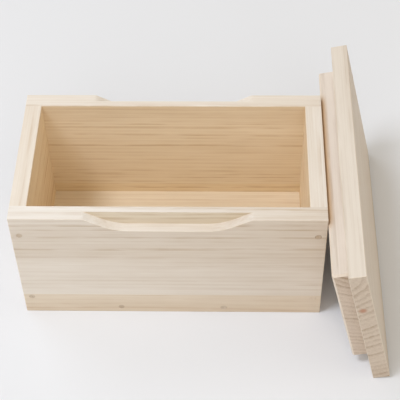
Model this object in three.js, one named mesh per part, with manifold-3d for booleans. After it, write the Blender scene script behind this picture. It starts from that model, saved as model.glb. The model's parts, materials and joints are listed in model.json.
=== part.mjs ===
// A lidded storage box of bare paulownia boards, joined with glue and wooden pegs.
// The lid is off: it stands on its long edge and leans on the outside of the right-hand wall.
// Millimetres, +Z up, +X right, +Y away from the front. The origin is the middle of the box's underside.

import * as THREE from 'three';
import { mergeVertices } from 'three/addons/utils/BufferGeometryUtils.js';
import Module from 'manifold-3d';

// Box
const BOX_WIDTH = 340;
const BOX_DEPTH = 188;
const BOX_HEIGHT = 167;
const WALL_THICKNESS = 18.5;
const BOTTOM_THICKNESS = 18;
const GLUE_LINE_HEIGHT = 33;
const ARRIS = 0.5;

// Finger scoop, cut into the outer half of the front and back walls
const SCOOP_WIDTH = 180;
const SCOOP_DROP = 19;
const SCOOP_REACH = 10.5;
const SCOOP_SLOPE = THREE.MathUtils.degToRad(30);
const SCOOP_FILLET = 60;
const SCOOP_CORNER = 10;

// Lid, the size of the box outside, with a plug board that drops into the mouth
const LID_THICKNESS = 18.5;
const PLUG_THICKNESS = 18.5;
const PLUG_CLEARANCE = 0.6;
const PLUG_CHAMFER = 2.2;
const LID_LEAN = THREE.MathUtils.degToRad(12.8);
const LID_SHIFT = -12;

// Pegs, driven in flush from outside
const PEG_DIAMETER = 6.5;
const PEG_LENGTH = 40;
const PEG_TIP = 1.5;
const PEG_FROM_EDGE = 28;
const LONG_WALL_PEG_SPACING = 118;
const END_WALL_PEG_SPACING = 80;

// Fits and cuts
const FIT_GAP = 0.3;
const DRILL_OVERRUN = 1;
const CUT_OVERRUN = 10;

// Facets
const ROUND_SIDES = 24;
const ARC_SEGMENTS = 5;

// Colours
const PALE_WOOD = 0xd9cebc;
const WARM_WOOD = 0xd2c2a8;
const END_GRAIN_WOOD = 0xb9a68b;

// Planes where the boards meet
const RIGHT = BOX_WIDTH / 2;
const BACK = BOX_DEPTH / 2;
const INNER_RIGHT = RIGHT - WALL_THICKNESS;
const INNER_BACK = BACK - WALL_THICKNESS;

const wasm = await Module();
wasm.setup();

// Solids to join and cut, and back to geometry

function toSolid(geometry) {
  const bare = geometry.clone();
  bare.deleteAttribute('normal');
  bare.deleteAttribute('uv');
  const merged = mergeVertices(bare);
  return new wasm.Manifold(new wasm.Mesh({
    numProp: 3,
    vertProperties: new Float32Array(merged.attributes.position.array),
    triVerts: new Uint32Array(merged.index.array),
  }));
}

function toGeometry(solid) {
  const mesh = solid.getMesh();
  const geometry = new THREE.BufferGeometry();
  geometry.setAttribute('position', new THREE.BufferAttribute(mesh.vertProperties, mesh.numProp));
  geometry.setIndex(new THREE.BufferAttribute(mesh.triVerts, 1));
  const facets = geometry.toNonIndexed();
  facets.computeVertexNormals();
  return facets;
}

// Basic shapes

function block(xs, ys, zs) {
  const geometry = new THREE.BoxGeometry(1, 1, 1);
  const position = geometry.attributes.position;
  for (let i = 0; i < position.count; i += 1) {
    const x = xs[position.getX(i) < 0 ? 0 : 1];
    const y = ys[position.getY(i) < 0 ? 0 : 1];
    const z = zs[position.getZ(i) < 0 ? 0 : 1];
    position.setXYZ(i, x, y, z);
  }
  return toSolid(geometry);
}

function outline(points) {
  return new THREE.Shape(points.map(([u, v]) => new THREE.Vector2(u, v)));
}

function extrude(shape, from, to) {
  const options = { depth: to - from, bevelEnabled: false, curveSegments: ARC_SEGMENTS };
  return new THREE.ExtrudeGeometry(shape, options).translate(0, 0, from);
}

// Stands up an outline drawn in X and Z, so that its depth runs from one Y to another.
function extrudeAlongY(shape, from, to) {
  return extrude(shape, -to, -from).rotateX(Math.PI / 2);
}

// Stands up an outline drawn in Y and Z, so that its depth runs from one X to another.
function extrudeAlongX(shape, from, to) {
  return extrude(shape, from, to).rotateX(Math.PI / 2).rotateZ(Math.PI / 2);
}

function easedRectangle([left, right], [low, high], ease) {
  return outline([
    [left + ease, low],
    [right - ease, low],
    [right, low + ease],
    [right, high - ease],
    [right - ease, high],
    [left + ease, high],
    [left, high - ease],
    [left, low + ease],
  ]);
}

// A block with a flat chamfer along each of its twelve edges.
function easedBlock(xs, ys, zs, ease) {
  const past = ([low, high]) => [low - CUT_OVERRUN, high + CUT_OVERRUN];
  const plan = toSolid(extrude(easedRectangle(xs, ys, ease), ...past(zs)));
  const front = toSolid(extrudeAlongY(easedRectangle(xs, zs, ease), ...past(ys)));
  const side = toSolid(extrudeAlongX(easedRectangle(ys, zs, ease), ...past(xs)));
  return plan.intersect(front).intersect(side);
}

// Finger scoop

// The opening seen from the front: a flat floor, round fillets, straight slopes and softened top corners.
function scoopOutline() {
  const rise = SCOOP_DROP - SCOOP_FILLET * (1 - Math.cos(SCOOP_SLOPE));
  const slopeRun = rise / Math.tan(SCOOP_SLOPE);
  const floorEnd = SCOOP_WIDTH / 2 - slopeRun - SCOOP_FILLET * Math.sin(SCOOP_SLOPE);
  const mouthEnd = SCOOP_WIDTH / 2 + SCOOP_CORNER * Math.tan(SCOOP_SLOPE / 2);
  const filletHeight = BOX_HEIGHT - SCOOP_DROP + SCOOP_FILLET;
  const cornerHeight = BOX_HEIGHT - SCOOP_CORNER;
  const up = Math.PI / 2;
  const down = -Math.PI / 2;
  const shape = new THREE.Shape();
  shape.moveTo(-mouthEnd, BOX_HEIGHT);
  shape.absarc(-mouthEnd, cornerHeight, SCOOP_CORNER, up, up - SCOOP_SLOPE, true);
  shape.absarc(-floorEnd, filletHeight, SCOOP_FILLET, down - SCOOP_SLOPE, down, false);
  shape.absarc(floorEnd, filletHeight, SCOOP_FILLET, down, down + SCOOP_SLOPE, false);
  shape.absarc(mouthEnd, cornerHeight, SCOOP_CORNER, up + SCOOP_SLOPE, up, true);
  shape.lineTo(mouthEnd, BOX_HEIGHT + CUT_OVERRUN);
  shape.lineTo(-mouthEnd, BOX_HEIGHT + CUT_OVERRUN);
  return shape;
}

// The cut for one wall, with its edge on the wall's outer face eased like the other arrises.
function frontScoop() {
  const shape = scoopOutline();
  const recess = extrudeAlongY(shape, -BACK - CUT_OVERRUN, -BACK + SCOOP_REACH);
  const chamfer = new THREE.ExtrudeGeometry(shape, {
    depth: CUT_OVERRUN,
    bevelSize: ARRIS,
    bevelThickness: ARRIS,
    bevelSegments: 1,
    curveSegments: ARC_SEGMENTS,
  });
  chamfer.translate(0, 0, BACK).rotateX(Math.PI / 2);
  return [recess, chamfer];
}

function scoops() {
  const front = frontScoop();
  const back = front.map((geometry) => geometry.clone().rotateZ(Math.PI));
  return [...front, ...back].map(toSolid).reduce((all, cut) => all.add(cut));
}

// Chamfer round the inside of the mouth

function mouthOutline(half) {
  const low = BOX_HEIGHT - ARRIS - CUT_OVERRUN;
  const high = BOX_HEIGHT + CUT_OVERRUN;
  const narrow = half - CUT_OVERRUN;
  const wide = half + ARRIS + CUT_OVERRUN;
  return outline([[-narrow, low], [narrow, low], [wide, high], [-wide, high]]);
}

function mouthChamfer() {
  const acrossWidth = toSolid(extrudeAlongY(mouthOutline(INNER_RIGHT), -BACK, BACK));
  const acrossDepth = toSolid(extrudeAlongX(mouthOutline(INNER_BACK), -RIGHT, RIGHT));
  return acrossWidth.intersect(acrossDepth);
}

// Pegs: where each head is, and the turn about Z that points it into the wood

function longWallPegs(wall, side, turn) {
  const y = side * BACK;
  const bottomMiddle = BOTTOM_THICKNESS / 2;
  return [['left', -1], ['right', 1]].flatMap(([hand, sign]) => {
    const intoEndWall = sign * (RIGHT - WALL_THICKNESS / 2);
    const intoBottom = sign * LONG_WALL_PEG_SPACING / 2;
    return [
      { name: `${wall}_peg_upper_${hand}`, at: [intoEndWall, y, BOX_HEIGHT - PEG_FROM_EDGE], turn },
      { name: `${wall}_peg_lower_${hand}`, at: [intoEndWall, y, PEG_FROM_EDGE], turn },
      { name: `${wall}_peg_bottom_${hand}`, at: [intoBottom, y, bottomMiddle], turn },
    ];
  });
}

function endWallPegs(wall, side, turn) {
  return [['front', -1], ['back', 1]].map(([hand, sign]) => ({
    name: `${wall}_peg_bottom_${hand}`,
    at: [side * RIGHT, sign * END_WALL_PEG_SPACING / 2, BOTTOM_THICKNESS / 2],
    turn,
  }));
}

const pegs = [
  ...longWallPegs('front', -1, 0),
  ...longWallPegs('back', 1, Math.PI),
  ...endWallPegs('left', -1, -Math.PI / 2),
  ...endWallPegs('right', 1, Math.PI / 2),
];

// A round peg along +Y with its head at zero and a chamfered tip.
function pegGeometry() {
  const radius = PEG_DIAMETER / 2;
  const profile = [
    [0, 0],
    [radius, 0],
    [radius, PEG_LENGTH - PEG_TIP],
    [radius - PEG_TIP / 2, PEG_LENGTH],
    [0, PEG_LENGTH],
  ];
  return new THREE.LatheGeometry(profile.map(([r, y]) => new THREE.Vector2(r, y)), ROUND_SIDES);
}

function drilling({ at, turn }) {
  const radius = PEG_DIAMETER / 2 + FIT_GAP;
  const length = PEG_LENGTH + 2 * DRILL_OVERRUN;
  const hole = new THREE.CylinderGeometry(radius, radius, length, ROUND_SIDES);
  hole.translate(0, PEG_LENGTH / 2, 0).rotateZ(turn).translate(...at);
  return toSolid(hole);
}

// Box: each board is its own share of the finished outside, with the scoops, mouth and peg holes cut

function finishedBox() {
  const outside = easedBlock([-RIGHT, RIGHT], [-BACK, BACK], [0, BOX_HEIGHT], ARRIS);
  const holes = pegs.map(drilling).reduce((all, hole) => all.add(hole));
  return outside.subtract(scoops()).subtract(mouthChamfer()).subtract(holes);
}

function wallBoards() {
  const below = -CUT_OVERRUN;
  const above = BOX_HEIGHT + CUT_OVERRUN;
  const fullWidth = [-RIGHT - CUT_OVERRUN, RIGHT + CUT_OVERRUN];
  const betweenWalls = [-INNER_BACK, INNER_BACK];
  const walls = {
    front: [fullWidth, [-BACK - CUT_OVERRUN, -INNER_BACK]],
    back: [fullWidth, [INNER_BACK, BACK + CUT_OVERRUN]],
    left: [[-RIGHT - CUT_OVERRUN, -INNER_RIGHT], betweenWalls],
    right: [[INNER_RIGHT, RIGHT + CUT_OVERRUN], betweenWalls],
  };
  return Object.entries(walls).flatMap(([wall, [xs, ys]]) => [
    { name: `${wall}_upper_stave`, solid: block(xs, ys, [GLUE_LINE_HEIGHT, above]), colour: PALE_WOOD },
    { name: `${wall}_lower_stave`, solid: block(xs, ys, [below, GLUE_LINE_HEIGHT]), colour: WARM_WOOD },
  ]);
}

function bottomBoard() {
  const xs = [-INNER_RIGHT, INNER_RIGHT];
  const ys = [-INNER_BACK, INNER_BACK];
  return { name: 'bottom_board', solid: block(xs, ys, [-CUT_OVERRUN, BOTTOM_THICKNESS]), colour: WARM_WOOD };
}

// Lid, in its own frame: +X out of its top face, +Y along its length, +Z up its width from the standing edge

const PLUG_INSET = WALL_THICKNESS + PLUG_CLEARANCE;
const PLUG_FACE = FIT_GAP + PLUG_THICKNESS;

function lidBoard() {
  return easedBlock([0, LID_THICKNESS], [-RIGHT, RIGHT], [0, BOX_DEPTH], ARRIS);
}

// The plug's edges are chamfered to find the mouth, except where it is glued to the lid board.
function lidPlug() {
  const ys = [-RIGHT + PLUG_INSET, RIGHT - PLUG_INSET];
  const zs = [PLUG_INSET, BOX_DEPTH - PLUG_INSET];
  const chamfered = easedBlock([-PLUG_FACE, CUT_OVERRUN], ys, zs, PLUG_CHAMFER);
  return chamfered.intersect(block([-PLUG_FACE - CUT_OVERRUN, -FIT_GAP], [-RIGHT, RIGHT], [0, BOX_DEPTH]));
}

// Where the lid stands: its eased edge on the ground and its plug against the box's right-hand wall.
function lidFoot() {
  const sine = Math.sin(LID_LEAN);
  const cosine = Math.cos(LID_LEAN);
  const plugTop = BOX_DEPTH - PLUG_INSET - PLUG_CHAMFER;
  const rimOnPlug = (BOX_HEIGHT + PLUG_FACE * sine) / cosine;
  const touch = Math.min(plugTop, rimOnPlug);
  const x = RIGHT + FIT_GAP + touch * sine + PLUG_FACE * cosine;
  return new THREE.Vector3(x, LID_SHIFT, -ARRIS * sine);
}

// Assembly

function woodMesh(name, geometry, colour) {
  const material = new THREE.MeshStandardMaterial({ color: colour, roughness: 0.75, metalness: 0 });
  const mesh = new THREE.Mesh(geometry, material);
  mesh.name = name;
  return mesh;
}

function boxGroup() {
  const box = new THREE.Group();
  const finished = finishedBox();
  for (const { name, solid, colour } of [...wallBoards(), bottomBoard()]) {
    box.add(woodMesh(name, toGeometry(solid.intersect(finished)), colour));
  }
  for (const { name, at, turn } of pegs) {
    const peg = woodMesh(name, pegGeometry(), END_GRAIN_WOOD);
    peg.position.set(...at);
    peg.rotation.z = turn;
    box.add(peg);
  }
  return box;
}

function lidGroup() {
  const lid = new THREE.Group();
  lid.add(woodMesh('lid_board', toGeometry(lidBoard()), PALE_WOOD));
  lid.add(woodMesh('lid_plug', toGeometry(lidPlug()), WARM_WOOD));
  lid.position.copy(lidFoot());
  lid.rotation.y = -LID_LEAN;
  return lid;
}

const group = new THREE.Group();
group.add(boxGroup());
group.add(lidGroup());

export default group;
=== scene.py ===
import json
import math

import bpy
from mathutils import Euler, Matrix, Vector

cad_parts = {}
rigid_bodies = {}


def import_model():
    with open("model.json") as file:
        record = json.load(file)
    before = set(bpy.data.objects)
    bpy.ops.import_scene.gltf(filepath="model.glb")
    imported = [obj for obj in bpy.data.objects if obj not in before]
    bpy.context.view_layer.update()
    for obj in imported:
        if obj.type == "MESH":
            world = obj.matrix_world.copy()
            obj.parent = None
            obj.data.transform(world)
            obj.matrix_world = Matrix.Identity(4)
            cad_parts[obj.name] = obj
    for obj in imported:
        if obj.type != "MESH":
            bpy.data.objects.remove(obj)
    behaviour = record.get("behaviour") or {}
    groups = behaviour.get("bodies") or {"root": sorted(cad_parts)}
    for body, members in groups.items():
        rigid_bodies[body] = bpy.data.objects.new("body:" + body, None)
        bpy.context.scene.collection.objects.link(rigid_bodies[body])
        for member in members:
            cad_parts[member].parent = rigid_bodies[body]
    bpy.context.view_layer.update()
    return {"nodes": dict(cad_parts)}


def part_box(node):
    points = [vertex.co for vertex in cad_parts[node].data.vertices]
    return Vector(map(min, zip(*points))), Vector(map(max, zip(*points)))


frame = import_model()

# Camera: the photograph's viewing angle, in metres, degrees and millimetres
CAMERA_PLACE = (0.0697, -0.8832, 1.1191)
CAMERA_TURN = (40.647, 1.075, 1.24)
CAMERA_LENS = 105.666

# Studio: a pale floor, an even warm surround, a soft lamp high on the left and four wide fills,
# whose tints even out to white on the floor
FLOOR_SIDE = 14.0
FLOOR_COLOUR = (235, 237, 241)
FLOOR_ROUGHNESS = 0.85
FLOOR_GLOSS = 0.2
BACKDROP_COLOUR = (240, 240, 241)
SURROUND_LIGHT = (0.43, 0.385, 0.312, 1.0)
DAYLIGHT = (0.945, 1.0, 1.1)
WARM_LIGHT = (1.1, 1.0, 0.85)
LAMPS = {
    "high_left_window": {"place": (-2.0, -1.0, 4.7), "side": 1.4, "power": 95.0, "colour": DAYLIGHT},
    "low_left_fill": {"place": (-4.5, -1.2, 2.1), "side": 2.4, "power": 20.0, "colour": DAYLIGHT},
    "back_left_fill": {"place": (-2.7, 2.7, 3.9), "side": 2.8, "power": 41.0, "colour": DAYLIGHT},
    "front_fill": {"place": (0.0, -4.2, 3.0), "side": 3.9, "power": 57.0, "colour": DAYLIGHT},
    "right_fill": {"place": (3.6, -0.9, 2.7), "side": 2.7, "power": 22.0, "colour": WARM_LIGHT},
}
LAMP_AIM = (0.0, 0.0, 0.08)

# Each board's wood. Grain: the axis it runs along. Heart: where the middle of its log lies from the
# board's middle, across and up, in mm. Rings: their spacing in mm. Pale and deep: its two tones.
# Inside: which way across the board its inner face looks (0 where it has none); that face gets painted warm
# bounce light.
# Painted warmth: how much of the painted warm bounce light that face gets, against the walls' inner faces.
# Heartwood: where the board starts and ends turning darker, in mm up from its middle.
# Drift: how much darker it gets from one end to the other, along the grain. On the front staves, whose right
# ends stand next to the lid, it is partly their own tone and partly painted shade and warm bounce from the
# lid.
# Fleck: a small brown spot, along, across and up from the board's middle in mm.
# Painted glow: True where the board's rim gets a painted warm glow, of light bouncing between it and the box,
# along the stretch that leans on the box.
BOARDS = {
    "front_upper_stave": {
        "grain": "x", "heart": (330, -420), "rings": 5.4, "pale": (234, 224, 211), "deep": (188, 162, 130),
        "inside": 1, "heartwood": (-22, -4), "drift": 0.18,
    },
    "front_lower_stave": {
        "grain": "x", "heart": (260, -180), "rings": 4.4, "pale": (230, 215, 194), "deep": (192, 160, 124),
        "inside": 1, "heartwood": (8, -16), "drift": 0.16,
    },
    "back_upper_stave": {
        "grain": "x", "heart": (-300, -420), "rings": 5.0, "pale": (231, 219, 203), "deep": (190, 162, 128),
        "inside": -1, "heartwood": (30, 60), "drift": 0.06,
    },
    "back_lower_stave": {
        "grain": "x", "heart": (-260, -200), "rings": 4.4, "pale": (229, 214, 192), "deep": (190, 160, 124),
        "inside": -1, "heartwood": (4, -16), "drift": -0.06,
    },
    "left_upper_stave": {
        "grain": "y", "heart": (320, -400), "rings": 5.0, "pale": (232, 219, 202), "deep": (192, 162, 126),
        "inside": -1, "heartwood": (20, -10), "drift": 0.08,
    },
    "left_lower_stave": {
        "grain": "y", "heart": (240, -210), "rings": 4.4, "pale": (229, 214, 192), "deep": (190, 160, 124),
        "inside": -1, "heartwood": (-6, 14), "drift": -0.06,
    },
    "right_upper_stave": {
        "grain": "y", "heart": (-340, -420), "rings": 5.0, "pale": (231, 219, 203), "deep": (190, 162, 128),
        "inside": 1, "heartwood": (-30, 0), "drift": 0.06,
    },
    "right_lower_stave": {
        "grain": "y", "heart": (-250, -200), "rings": 4.4, "pale": (229, 214, 192), "deep": (190, 160, 124),
        "inside": 1, "heartwood": (-6, 14), "drift": 0.08,
    },
    "bottom_board": {
        "grain": "x", "heart": (420, -260), "rings": 5.5, "pale": (236, 217, 188), "deep": (198, 164, 122),
        "inside": 0, "heartwood": (6, 14), "drift": 0.06,
    },
    "lid_board": {
        "grain": "y", "heart": (34, 104), "rings": 8.0, "pale": (219, 205, 187), "deep": (174, 150, 124),
        "inside": 0, "heartwood": (-60, -90), "drift": 0.0, "fleck": (-170, 2.5, 36),
    },
    "lid_plug": {
        "grain": "y", "heart": (-60, 150), "rings": 6.5, "pale": (222, 207, 190), "deep": (174, 150, 124),
        "inside": 1, "heartwood": (30, 70), "drift": -0.04, "painted_warmth": 0.45, "painted_glow": True,
    },
}

# Pieces that lean with the lid
LID_PIECES = ("lid_board", "lid_plug")

# Pegs: end grain of short sticks, some paler or darker than the rest
PEG = {
    "heart": (0.7, -0.5), "rings": 2.6, "pale": (219, 203, 183), "deep": (184, 160, 130),
    "inside": 0, "heartwood": (9, 10), "drift": 0.0,
}
FAINT_PEG = (234, 218, 197)
DARK_PEG = (204, 184, 161)
PEG_TONES = {
    "front_peg_lower_right": FAINT_PEG,
    "back_peg_upper_left": FAINT_PEG,
    "left_peg_bottom_back": FAINT_PEG,
    "front_peg_upper_right": DARK_PEG,
    "front_peg_bottom_left": DARK_PEG,
    "back_peg_lower_right": DARK_PEG,
}

# How much of each colour the different sides of a board give back, against its broad outer face. The end tint
# is the wood's own; the others hold painted light, in part or whole, as noted at each.
TINTS = {
    "end": (0.92, 0.89, 0.87, 1.0),
    # Edge: rims and edges that face up are paler and cooler, partly planed edge grain and partly a painted
    # highlight from the light above.
    "edge": (1.08, 1.13, 1.2, 1.0),
    # Inside: painted warm bounce light on the faces inside the box and on the plug's face towards it.
    "inside": (1.15, 1.1, 0.97, 1.0),
    # Recess: painted warm shade on the back of the scoop's recess.
    "recess": (1.02, 1.0, 0.92, 1.0),
    # Arris: a painted highlight along the chamfered arrises.
    "arris": (1.12, 1.14, 1.16, 1.0),
    # Painted glow: a painted warm glow, of light bouncing between the plug's rim and the box, where the plug
    # leans on it.
    "painted_glow": (0.99, 0.81, 0.58, 1.0),
}

# How squarely a surface faces along, across or up its board where each kind of side starts and is full.
# An arris is the reverse: it faces none of the three squarely.
END_FACING = (0.6, 0.9)
EDGE_FACING = (0.3, 0.7)
SLOPE_FACING = (0.03, 0.15)
BROAD_FACING = (0.6, 0.9)
ARRIS_FACING = (0.72, 0.8)

# Recess: between which depths its back lies, towards the inside from the board's middle in mm.
# Painted glow on the plug's rim, where it leans on the box: between which depths it sets in, and its reach
# along the plug.
RECESS_DEPTH = (-6.0, -3.0)
GLOW_DEPTH = (0.5, 8.5)
GLOW_REACH = (-82.0, 106.0)
GLOW_FADE = 12.0

# Noise: how often each kind changes per mm, along the grain, across and up, and its level of detail
NOISE = {
    "wander": ((0.003, 0.02, 0.02), 1.0),
    "uneven": ((0.0015, 0.09, 0.09), 1.0),
    "fading": ((0.022, 0.18, 0.18), 2.0),
    "border": ((0.004, 0.02, 0.05), 1.0),
    "fibre": ((0.006, 0.55, 0.55), 3.0),
    "streaks": ((0.004, 0.22, 0.22), 2.0),
    "mottle": ((0.022, 0.12, 0.12), 2.0),
    "broad": ((0.003, 0.035, 0.035), 2.0),
    "pores": ((0.06, 2.6, 2.6), 1.0),
}

# Rings: how far they stray in mm, the share of a year where the line is darkest and where it ends,
# the faintest year, where the line breaks and what is left of it there, and what end grain keeps of it
RING_WANDER = 2.5
RING_UNEVENNESS = 2.0
RING_PEAK = 0.14
RING_END = 0.8
FAINTEST_YEAR = 0.2
BREAK_RANGE = (-0.3, 0.3)
BROKEN_LINE = 0.1
END_GRAIN_LINE = 0.7

# How clearly rings and fibres show: on a broad outer face, and how much more in heartwood or on other sides
PLAIN_LINE = 0.65
HEARTWOOD_LINE = 1.1
LINE_CLEARNESS = {"end": 2.1, "edge": 0.6, "slope": -1.1, "inside": 1.6}
PLAIN_FIBRE = 1.0
FIBRE_COARSENESS = {"end": 1.5, "edge": 0.5, "inside": 0.8}

# Heartwood: how far its border climbs per mm along the grain and wavers in mm, and what edges lose of it
HEARTWOOD_SLOPE = 0.03
HEARTWOOD_WAVER = 5.0
HEARTWOOD_EDGE_LOSS = 0.8

# Drift: the half length over which a board's tone changes, in mm
DRIFT_REACH = 170.0

# Pores: the noise from which one starts and at which it is full
PORE_RANGE = (0.2, 0.6)

# Fleck: its brown, how fast it fades along, across and up, from its full to its last distance
FLECK_COLOUR = (196, 150, 124)
FLECK_STRETCH = (0.1, 0.8, 0.85)
FLECK_RANGE = (0.5, 5.0)

# How much each mark of the wood moves its colour from the pale tone to the deep one, from a small start
TONE_WEIGHTS = {
    "line": 0.24, "fibre": 0.16, "streaks": 0.14, "mottle": 0.1, "broad": 0.14,
    "pores": 0.08, "heartwood": 0.14, "fleck": 0.3,
}
TONE_START = 0.05

# Surface: how high each mark stands, the bump's strength and depth in metres, the roughness of the pale tone
# and its rise to the deep one, and the gloss
RELIEF_WEIGHTS = {"line": -0.5, "pores": -0.6, "fibre": 0.25}
BUMP_STRENGTH = 0.25
BUMP_DEPTH = 0.0003
PALE_ROUGHNESS = 0.5
ROUGHNESS_RISE = 0.2
WOOD_GLOSS = 0.3

# Millimetres in a metre, and how far apart two boards' grain is taken from, in mm
MM = 1000.0
SEED_STEP = 431.0


def linear(colour):
    """A written 0 to 255 colour as linear light with full alpha."""
    parts = [part / 255 for part in colour]
    light = [p / 12.92 if p <= 0.04045 else ((p + 0.055) / 1.055) ** 2.4 for p in parts]
    return (*light, 1.0)


def look_at(place, target):
    """The turn that points a lamp's -Z axis from its place to a target."""
    return (Vector(target) - Vector(place)).to_track_quat("-Z", "Y").to_euler()


def add_object(name, data):
    """A new object in the scene."""
    made = bpy.data.objects.new(name, data)
    bpy.context.scene.collection.objects.link(made)
    return made


def add_camera():
    """The camera at the photograph's place, angle and lens."""
    lens = bpy.data.cameras.new("photo_camera")
    lens.lens = CAMERA_LENS
    camera = add_object("photo_camera", lens)
    camera.location = CAMERA_PLACE
    camera.rotation_euler = [math.radians(turn) for turn in CAMERA_TURN]
    bpy.context.scene.camera = camera


def add_lamps():
    """Large soft lamps, all pointed at the box."""
    for name, values in LAMPS.items():
        lamp = bpy.data.lights.new(name, "AREA")
        lamp.size = values["side"]
        lamp.energy = values["power"]
        lamp.color = values["colour"]
        light = add_object(name, lamp)
        light.location = values["place"]
        light.rotation_euler = look_at(values["place"], LAMP_AIM)


class Nodes:
    """Short ways to add and join the nodes of one node tree."""

    def __init__(self, tree):
        self.tree = tree
        tree.nodes.clear()

    def add(self, kind, **settings):
        """A new node with some of its properties set."""
        node = self.tree.nodes.new(kind)
        for name, value in settings.items():
            setattr(node, name, value)
        return node

    def feed(self, socket, source):
        """Puts a number, a tuple or another node's output into an input."""
        if isinstance(source, bpy.types.NodeSocket):
            self.tree.links.new(source, socket)
        else:
            socket.default_value = source

    def math(self, operation, *values, clamp=False):
        """One arithmetic step."""
        node = self.add("ShaderNodeMath", operation=operation, use_clamp=clamp)
        for socket, value in zip(node.inputs, values):
            self.feed(socket, value)
        return node.outputs[0]

    def vector(self, operation, *values):
        """One vector step."""
        node = self.add("ShaderNodeVectorMath", operation=operation)
        for socket, value in zip(node.inputs, values):
            self.feed(socket, value)
        return node.outputs["Value" if operation in ("LENGTH", "DOT_PRODUCT") else "Vector"]

    def noise(self, place, kind):
        """Smooth noise of a named kind, about -1 to 1."""
        stretch, detail = NOISE[kind]
        node = self.add("ShaderNodeTexNoise", noise_dimensions="3D")
        self.feed(node.inputs["Vector"], self.vector("MULTIPLY", place, stretch))
        node.inputs["Scale"].default_value = 1.0
        node.inputs["Detail"].default_value = detail
        return self.math("MULTIPLY_ADD", node.outputs["Fac"], 2.0, -1.0)

    def ramp(self, value, limits, start=0.0, end=1.0):
        """A smooth step from start below the first limit to end above the second."""
        node = self.add("ShaderNodeMapRange", interpolation_type="SMOOTHSTEP")
        names = ("Value", "From Min", "From Max", "To Min", "To Max")
        for name, number in zip(names, (value, *limits, start, end)):
            self.feed(node.inputs[name], number)
        return node.outputs["Result"]

    def mix(self, share, first, second, blend="MIX"):
        """A blend of two colours. The node's sockets go by number, because their names repeat."""
        node = self.add("ShaderNodeMix", data_type="RGBA", blend_type=blend)
        for index, value in zip((0, 6, 7), (share, first, second)):
            self.feed(node.inputs[index], value)
        return node.outputs[2]

    def total(self, *terms, start=0.0):
        """A start value plus several values, each times its own weight."""
        result = start
        for value, weight in terms:
            result = self.math("MULTIPLY_ADD", value, weight, result)
        return result

    def weighted(self, values, weights, start=0.0):
        """A start value plus those of the named values that have a weight."""
        terms = [(values[name], weight) for name, weight in weights.items() if name in values]
        return self.total(*terms, start=start)


def add_surround():
    """Even light from all round; the camera and reflections see the pale backdrop."""
    world = bpy.data.worlds.new("studio_surround")
    bpy.context.scene.world = world
    world.use_nodes = True
    nodes = Nodes(world.node_tree)
    path = nodes.add("ShaderNodeLightPath")
    seen = nodes.math("MAXIMUM", path.outputs["Is Camera Ray"], path.outputs["Is Glossy Ray"])
    seen = nodes.math("MAXIMUM", seen, path.outputs["Is Transmission Ray"])
    background = nodes.add("ShaderNodeBackground")
    nodes.feed(background.inputs["Color"], nodes.mix(seen, SURROUND_LIGHT, linear(BACKDROP_COLOUR)))
    output = nodes.add("ShaderNodeOutputWorld")
    nodes.feed(output.inputs["Surface"], background.outputs[0])


def add_floor():
    """A plain pale floor under the box."""
    half = FLOOR_SIDE / 2
    corners = [(-half, -half, 0), (half, -half, 0), (half, half, 0), (-half, half, 0)]
    mesh = bpy.data.meshes.new("floor")
    mesh.from_pydata(corners, [], [(0, 1, 2, 3)])
    floor = add_object("floor", mesh)
    material = bpy.data.materials.new("floor_paper")
    material.use_nodes = True
    nodes = Nodes(material.node_tree)
    shader = nodes.add("ShaderNodeBsdfPrincipled")
    shader.inputs["Base Color"].default_value = linear(FLOOR_COLOUR)
    shader.inputs["Roughness"].default_value = FLOOR_ROUGHNESS
    shader.inputs["Specular IOR Level"].default_value = FLOOR_GLOSS
    output = nodes.add("ShaderNodeOutputMaterial")
    nodes.feed(output.inputs["Surface"], shader.outputs[0])
    mesh.materials.append(material)


def lid_lean():
    """How far the lid leans from upright, from its board's largest face."""
    face = max(bpy.data.objects["lid_board"].data.polygons, key=lambda polygon: polygon.area)
    return math.atan2(abs(face.normal.z), abs(face.normal.x))


def grain_turn(name, axis):
    """The turn that brings a piece's grain onto X and its board upright."""
    lean = lid_lean() if name in LID_PIECES else 0.0
    return Euler((0.0, lean, 0.0 if axis == "x" else -math.pi / 2))


def grain_place(nodes, name, cut, seed):
    """Places in mm and surface directions: X along the grain, the heart of the log at Y = Z = 0."""
    turn = grain_turn(name, cut["grain"])
    across, up = cut["heart"]
    low, high = (Vector(corner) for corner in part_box(name))
    middle = (low + high) * (MM / 2)
    middle.rotate(turn)
    coordinates = nodes.add("ShaderNodeTexCoord")
    mapping = nodes.add("ShaderNodeMapping")
    nodes.feed(mapping.inputs["Vector"], coordinates.outputs["Object"])
    mapping.inputs["Scale"].default_value = (MM, MM, MM)
    mapping.inputs["Rotation"].default_value = turn
    mapping.inputs["Location"].default_value = (seed - middle.x, -middle.y - across, -middle.z - up)
    facing = nodes.add("ShaderNodeMapping", vector_type="NORMAL")
    nodes.feed(facing.inputs["Vector"], coordinates.outputs["Normal"])
    facing.inputs["Rotation"].default_value = turn
    return mapping.outputs[0], facing.outputs[0]


def past_depth(nodes, place, cut, side, limits):
    """The part of a side that lies past a depth, counted from the board's middle towards its inside."""
    inwards = nodes.vector("DOT_PRODUCT", place, (0, cut["inside"], 0))
    low, high = (depth - cut["inside"] * cut["heart"][0] for depth in limits)
    return nodes.math("MULTIPLY", side, nodes.ramp(inwards, (low, high)))


def glow_length(nodes, place, seed):
    """The part of a plug's length that leans on the box, with soft ends, where its rim gets the painted warm
    glow.
    """
    along = nodes.vector("DOT_PRODUCT", place, (1, 0, 0))
    near, far = (seed + reach for reach in GLOW_REACH)
    start = nodes.ramp(along, (near - GLOW_FADE, near + GLOW_FADE))
    end = nodes.ramp(along, (far - GLOW_FADE, far + GLOW_FADE), 1.0, 0.0)
    return nodes.math("MULTIPLY", start, end)


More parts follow.
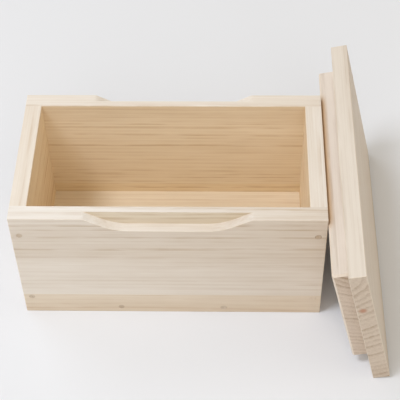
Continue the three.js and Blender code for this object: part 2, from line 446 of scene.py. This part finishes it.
def face_shares(nodes, place, facing, cut, seed):
    """How far each point lies on an end, edge, slope, arris, inside, recess's back or the rim strip with the
    painted glow.
    """
    inside = cut["inside"]
    along = nodes.math("ABSOLUTE", nodes.vector("DOT_PRODUCT", facing, (1, 0, 0)))
    across = nodes.vector("DOT_PRODUCT", facing, (0, 1, 0))
    up = nodes.math("ABSOLUTE", nodes.vector("DOT_PRODUCT", facing, (0, 0, 1)))
    squarest = nodes.math("MAXIMUM", nodes.math("MAXIMUM", along, up), nodes.math("ABSOLUTE", across))
    end = nodes.ramp(along, END_FACING)
    edge = nodes.ramp(up, EDGE_FACING)
    slope = nodes.math("SUBTRACT", nodes.ramp(along, SLOPE_FACING), end)
    # The arris share is where the painted highlight along the chamfers goes.
    shares = {"end": end, "edge": edge, "slope": slope, "arris": nodes.ramp(squarest, ARRIS_FACING, 1.0, 0.0)}
    if inside:
        inner = nodes.math("MULTIPLY", across, inside)
        outer = nodes.ramp(nodes.math("MULTIPLY", across, -inside), BROAD_FACING)
        # The inner face, which gets the painted warm bounce light.
        shares["inside"] = nodes.ramp(inner, BROAD_FACING, 0.0, cut.get("painted_warmth", 1.0))
        # The recess's back, which gets the painted warm shade.
        shares["recess"] = past_depth(nodes, place, cut, outer, RECESS_DEPTH)
    # The strip of the plug's rim that gets the painted warm glow where it leans on the box.
    if "painted_glow" in cut:
        rim = past_depth(nodes, place, cut, edge, GLOW_DEPTH)
        shares["painted_glow"] = nodes.math("MULTIPLY", rim, glow_length(nodes, place, seed))
    return shares


def face_tint(nodes, shares):
    """How each side of a board is tinted: ends darker; up-facing edges paler and cooler, partly planed edge
    grain and partly a painted highlight; the inside warmer with painted warm bounce light; the recess's back
    with painted warm shade; arrises lighter with a painted highlight; the plug's rim with a painted warm
    glow.
    """
    tint = (1, 1, 1, 1)
    for name, colour in TINTS.items():
        if name in shares:
            tint = nodes.mix(shares[name], tint, colour)
    return tint


def ring_lines(nodes, place, spacing, end):
    """A thin line where each year's growth starts, fading outwards, whole on end grain, broken elsewhere."""
    radius = nodes.vector("LENGTH", nodes.vector("MULTIPLY", place, (0, 1, 1)))
    wander = nodes.noise(place, "wander")
    uneven = nodes.noise(place, "uneven")
    stray = nodes.total((wander, RING_WANDER), (uneven, RING_UNEVENNESS), (radius, 1.0))
    ring = nodes.math("DIVIDE", stray, spacing)
    phase = nodes.math("FRACT", ring)
    rise = nodes.ramp(phase, (0.0, RING_PEAK))
    line = nodes.math("MULTIPLY", rise, nodes.ramp(phase, (RING_PEAK, RING_END), 1.0, 0.0))
    year = nodes.add("ShaderNodeTexWhiteNoise", noise_dimensions="1D")
    nodes.feed(year.inputs["W"], nodes.math("FLOOR", ring))
    line = nodes.math("MULTIPLY", line, nodes.ramp(year.outputs["Value"], (0.0, 1.0), FAINTEST_YEAR, 1.0))
    unbroken = nodes.ramp(nodes.noise(place, "fading"), BREAK_RANGE, BROKEN_LINE, 1.0)
    kept = nodes.math("MAXIMUM", unbroken, nodes.math("MULTIPLY", end, END_GRAIN_LINE))
    return nodes.math("MULTIPLY", line, kept)


def fleck(nodes, place, cut, seed):
    """A small brown spot drawn out along the grain."""
    along, across, up = cut["fleck"]
    middle = (seed + along, across - cut["heart"][0], up - cut["heart"][1])
    away = nodes.vector("MULTIPLY", nodes.vector("SUBTRACT", place, middle), FLECK_STRETCH)
    return nodes.ramp(nodes.vector("LENGTH", away), FLECK_RANGE, 1.0, 0.0)


def heartwood(nodes, place, cut, seed):
    """The darker part of a board, with a soft border that climbs a little along the grain."""
    up = nodes.vector("DOT_PRODUCT", place, (HEARTWOOD_SLOPE, 0, 1))
    up = nodes.total((nodes.noise(place, "border"), HEARTWOOD_WAVER), (up, 1.0))
    start, end = (edge - cut["heart"][1] + HEARTWOOD_SLOPE * seed for edge in cut["heartwood"])
    if start < end:
        return nodes.ramp(up, (start, end))
    return nodes.ramp(up, (end, start), 1.0, 0.0)


def drift(nodes, place, edge, seed):
    """How far along the board a point lies, counted twice on its edges."""
    along = nodes.vector("DOT_PRODUCT", place, (1, 0, 0))
    share = nodes.ramp(along, (seed - DRIFT_REACH, seed + DRIFT_REACH))
    return nodes.math("MULTIPLY", share, nodes.math("ADD", edge, 1.0))


def wood_marks(nodes, place, shares, cut, seed):
    """How strongly rings, fibres, pores, heartwood and the broader changes of tone show at each point."""
    broadside = nodes.total((shares["edge"], -HEARTWOOD_EDGE_LOSS), start=1.0)
    dark = nodes.math("MULTIPLY", heartwood(nodes, place, cut, seed), broadside)
    clearness = nodes.total((dark, HEARTWOOD_LINE), start=PLAIN_LINE)
    clearness = nodes.weighted(shares, LINE_CLEARNESS, start=clearness)
    coarseness = nodes.weighted(shares, FIBRE_COARSENESS, start=PLAIN_FIBRE)
    line = ring_lines(nodes, place, cut["rings"], shares["end"])
    marks = {
        "line": nodes.math("MULTIPLY", line, clearness),
        "fibre": nodes.math("MULTIPLY", nodes.noise(place, "fibre"), coarseness),
        "streaks": nodes.noise(place, "streaks"),
        "mottle": nodes.noise(place, "mottle"),
        "broad": nodes.noise(place, "broad"),
        "pores": nodes.ramp(nodes.noise(place, "pores"), PORE_RANGE),
        "heartwood": dark,
        "drift": drift(nodes, place, shares["edge"], seed),
    }
    if "fleck" in cut:
        marks["fleck"] = fleck(nodes, place, cut, seed)
    return marks


def wood_tone(nodes, marks, cut):
    """Where the wood's colour lies between its pale tone, 0, and its deep one, 1."""
    weights = dict(TONE_WEIGHTS, drift=cut["drift"])
    return nodes.math("ADD", nodes.weighted(marks, weights), TONE_START, clamp=True)


def wood_colour(nodes, tone, marks, shares, cut):
    """The wood's colour, with its fleck and the tint of each side."""
    colour = nodes.mix(tone, linear(cut["pale"]), linear(cut["deep"]))
    if "fleck" in marks:
        colour = nodes.mix(marks["fleck"], colour, linear(FLECK_COLOUR))
    return nodes.mix(1.0, colour, face_tint(nodes, shares), "MULTIPLY")


def wood_relief(nodes, marks):
    """The fine relief of a planed surface: rings and pores lie low, fibres stand up."""
    bump = nodes.add("ShaderNodeBump")
    bump.inputs["Strength"].default_value = BUMP_STRENGTH
    bump.inputs["Distance"].default_value = BUMP_DEPTH
    nodes.feed(bump.inputs["Height"], nodes.weighted(marks, RELIEF_WEIGHTS))
    return bump.outputs[0]


def wood_material(name, cut, seed):
    """Bare planed paulownia cut from one log."""
    material = bpy.data.materials.new("wood_" + name)
    material.use_nodes = True
    nodes = Nodes(material.node_tree)
    place, facing = grain_place(nodes, name, cut, seed)
    shares = face_shares(nodes, place, facing, cut, seed)
    marks = wood_marks(nodes, place, shares, cut, seed)
    tone = wood_tone(nodes, marks, cut)
    shader = nodes.add("ShaderNodeBsdfPrincipled")
    nodes.feed(shader.inputs["Base Color"], wood_colour(nodes, tone, marks, shares, cut))
    nodes.feed(shader.inputs["Roughness"], nodes.total((tone, ROUGHNESS_RISE), start=PALE_ROUGHNESS))
    nodes.feed(shader.inputs["Normal"], wood_relief(nodes, marks))
    shader.inputs["Specular IOR Level"].default_value = WOOD_GLOSS
    output = nodes.add("ShaderNodeOutputMaterial")
    nodes.feed(output.inputs["Surface"], shader.outputs[0])
    return material


def dress(name, material):
    """Gives a carried-over piece its finished material."""
    mesh = bpy.data.objects[name].data
    mesh.materials.clear()
    mesh.materials.append(material)


def dress_boards():
    """Each board gets its own cut of wood."""
    for count, (name, cut) in enumerate(BOARDS.items()):
        dress(name, wood_material(name, cut, count * SEED_STEP))


def dress_pegs():
    """Each peg is a short stick with its own rings, seen end on."""
    pegs = sorted(name for name in frame["nodes"] if "_peg_" in name)
    for count, name in enumerate(pegs):
        grain = "y" if name.startswith(("front", "back")) else "x"
        cut = dict(PEG, grain=grain, pale=PEG_TONES.get(name, PEG["pale"]))
        dress(name, wood_material(name, cut, count * SEED_STEP))


bpy.context.scene.view_settings.view_transform = "Standard"
add_camera()
add_surround()
add_lamps()
add_floor()
dress_boards()
dress_pegs()
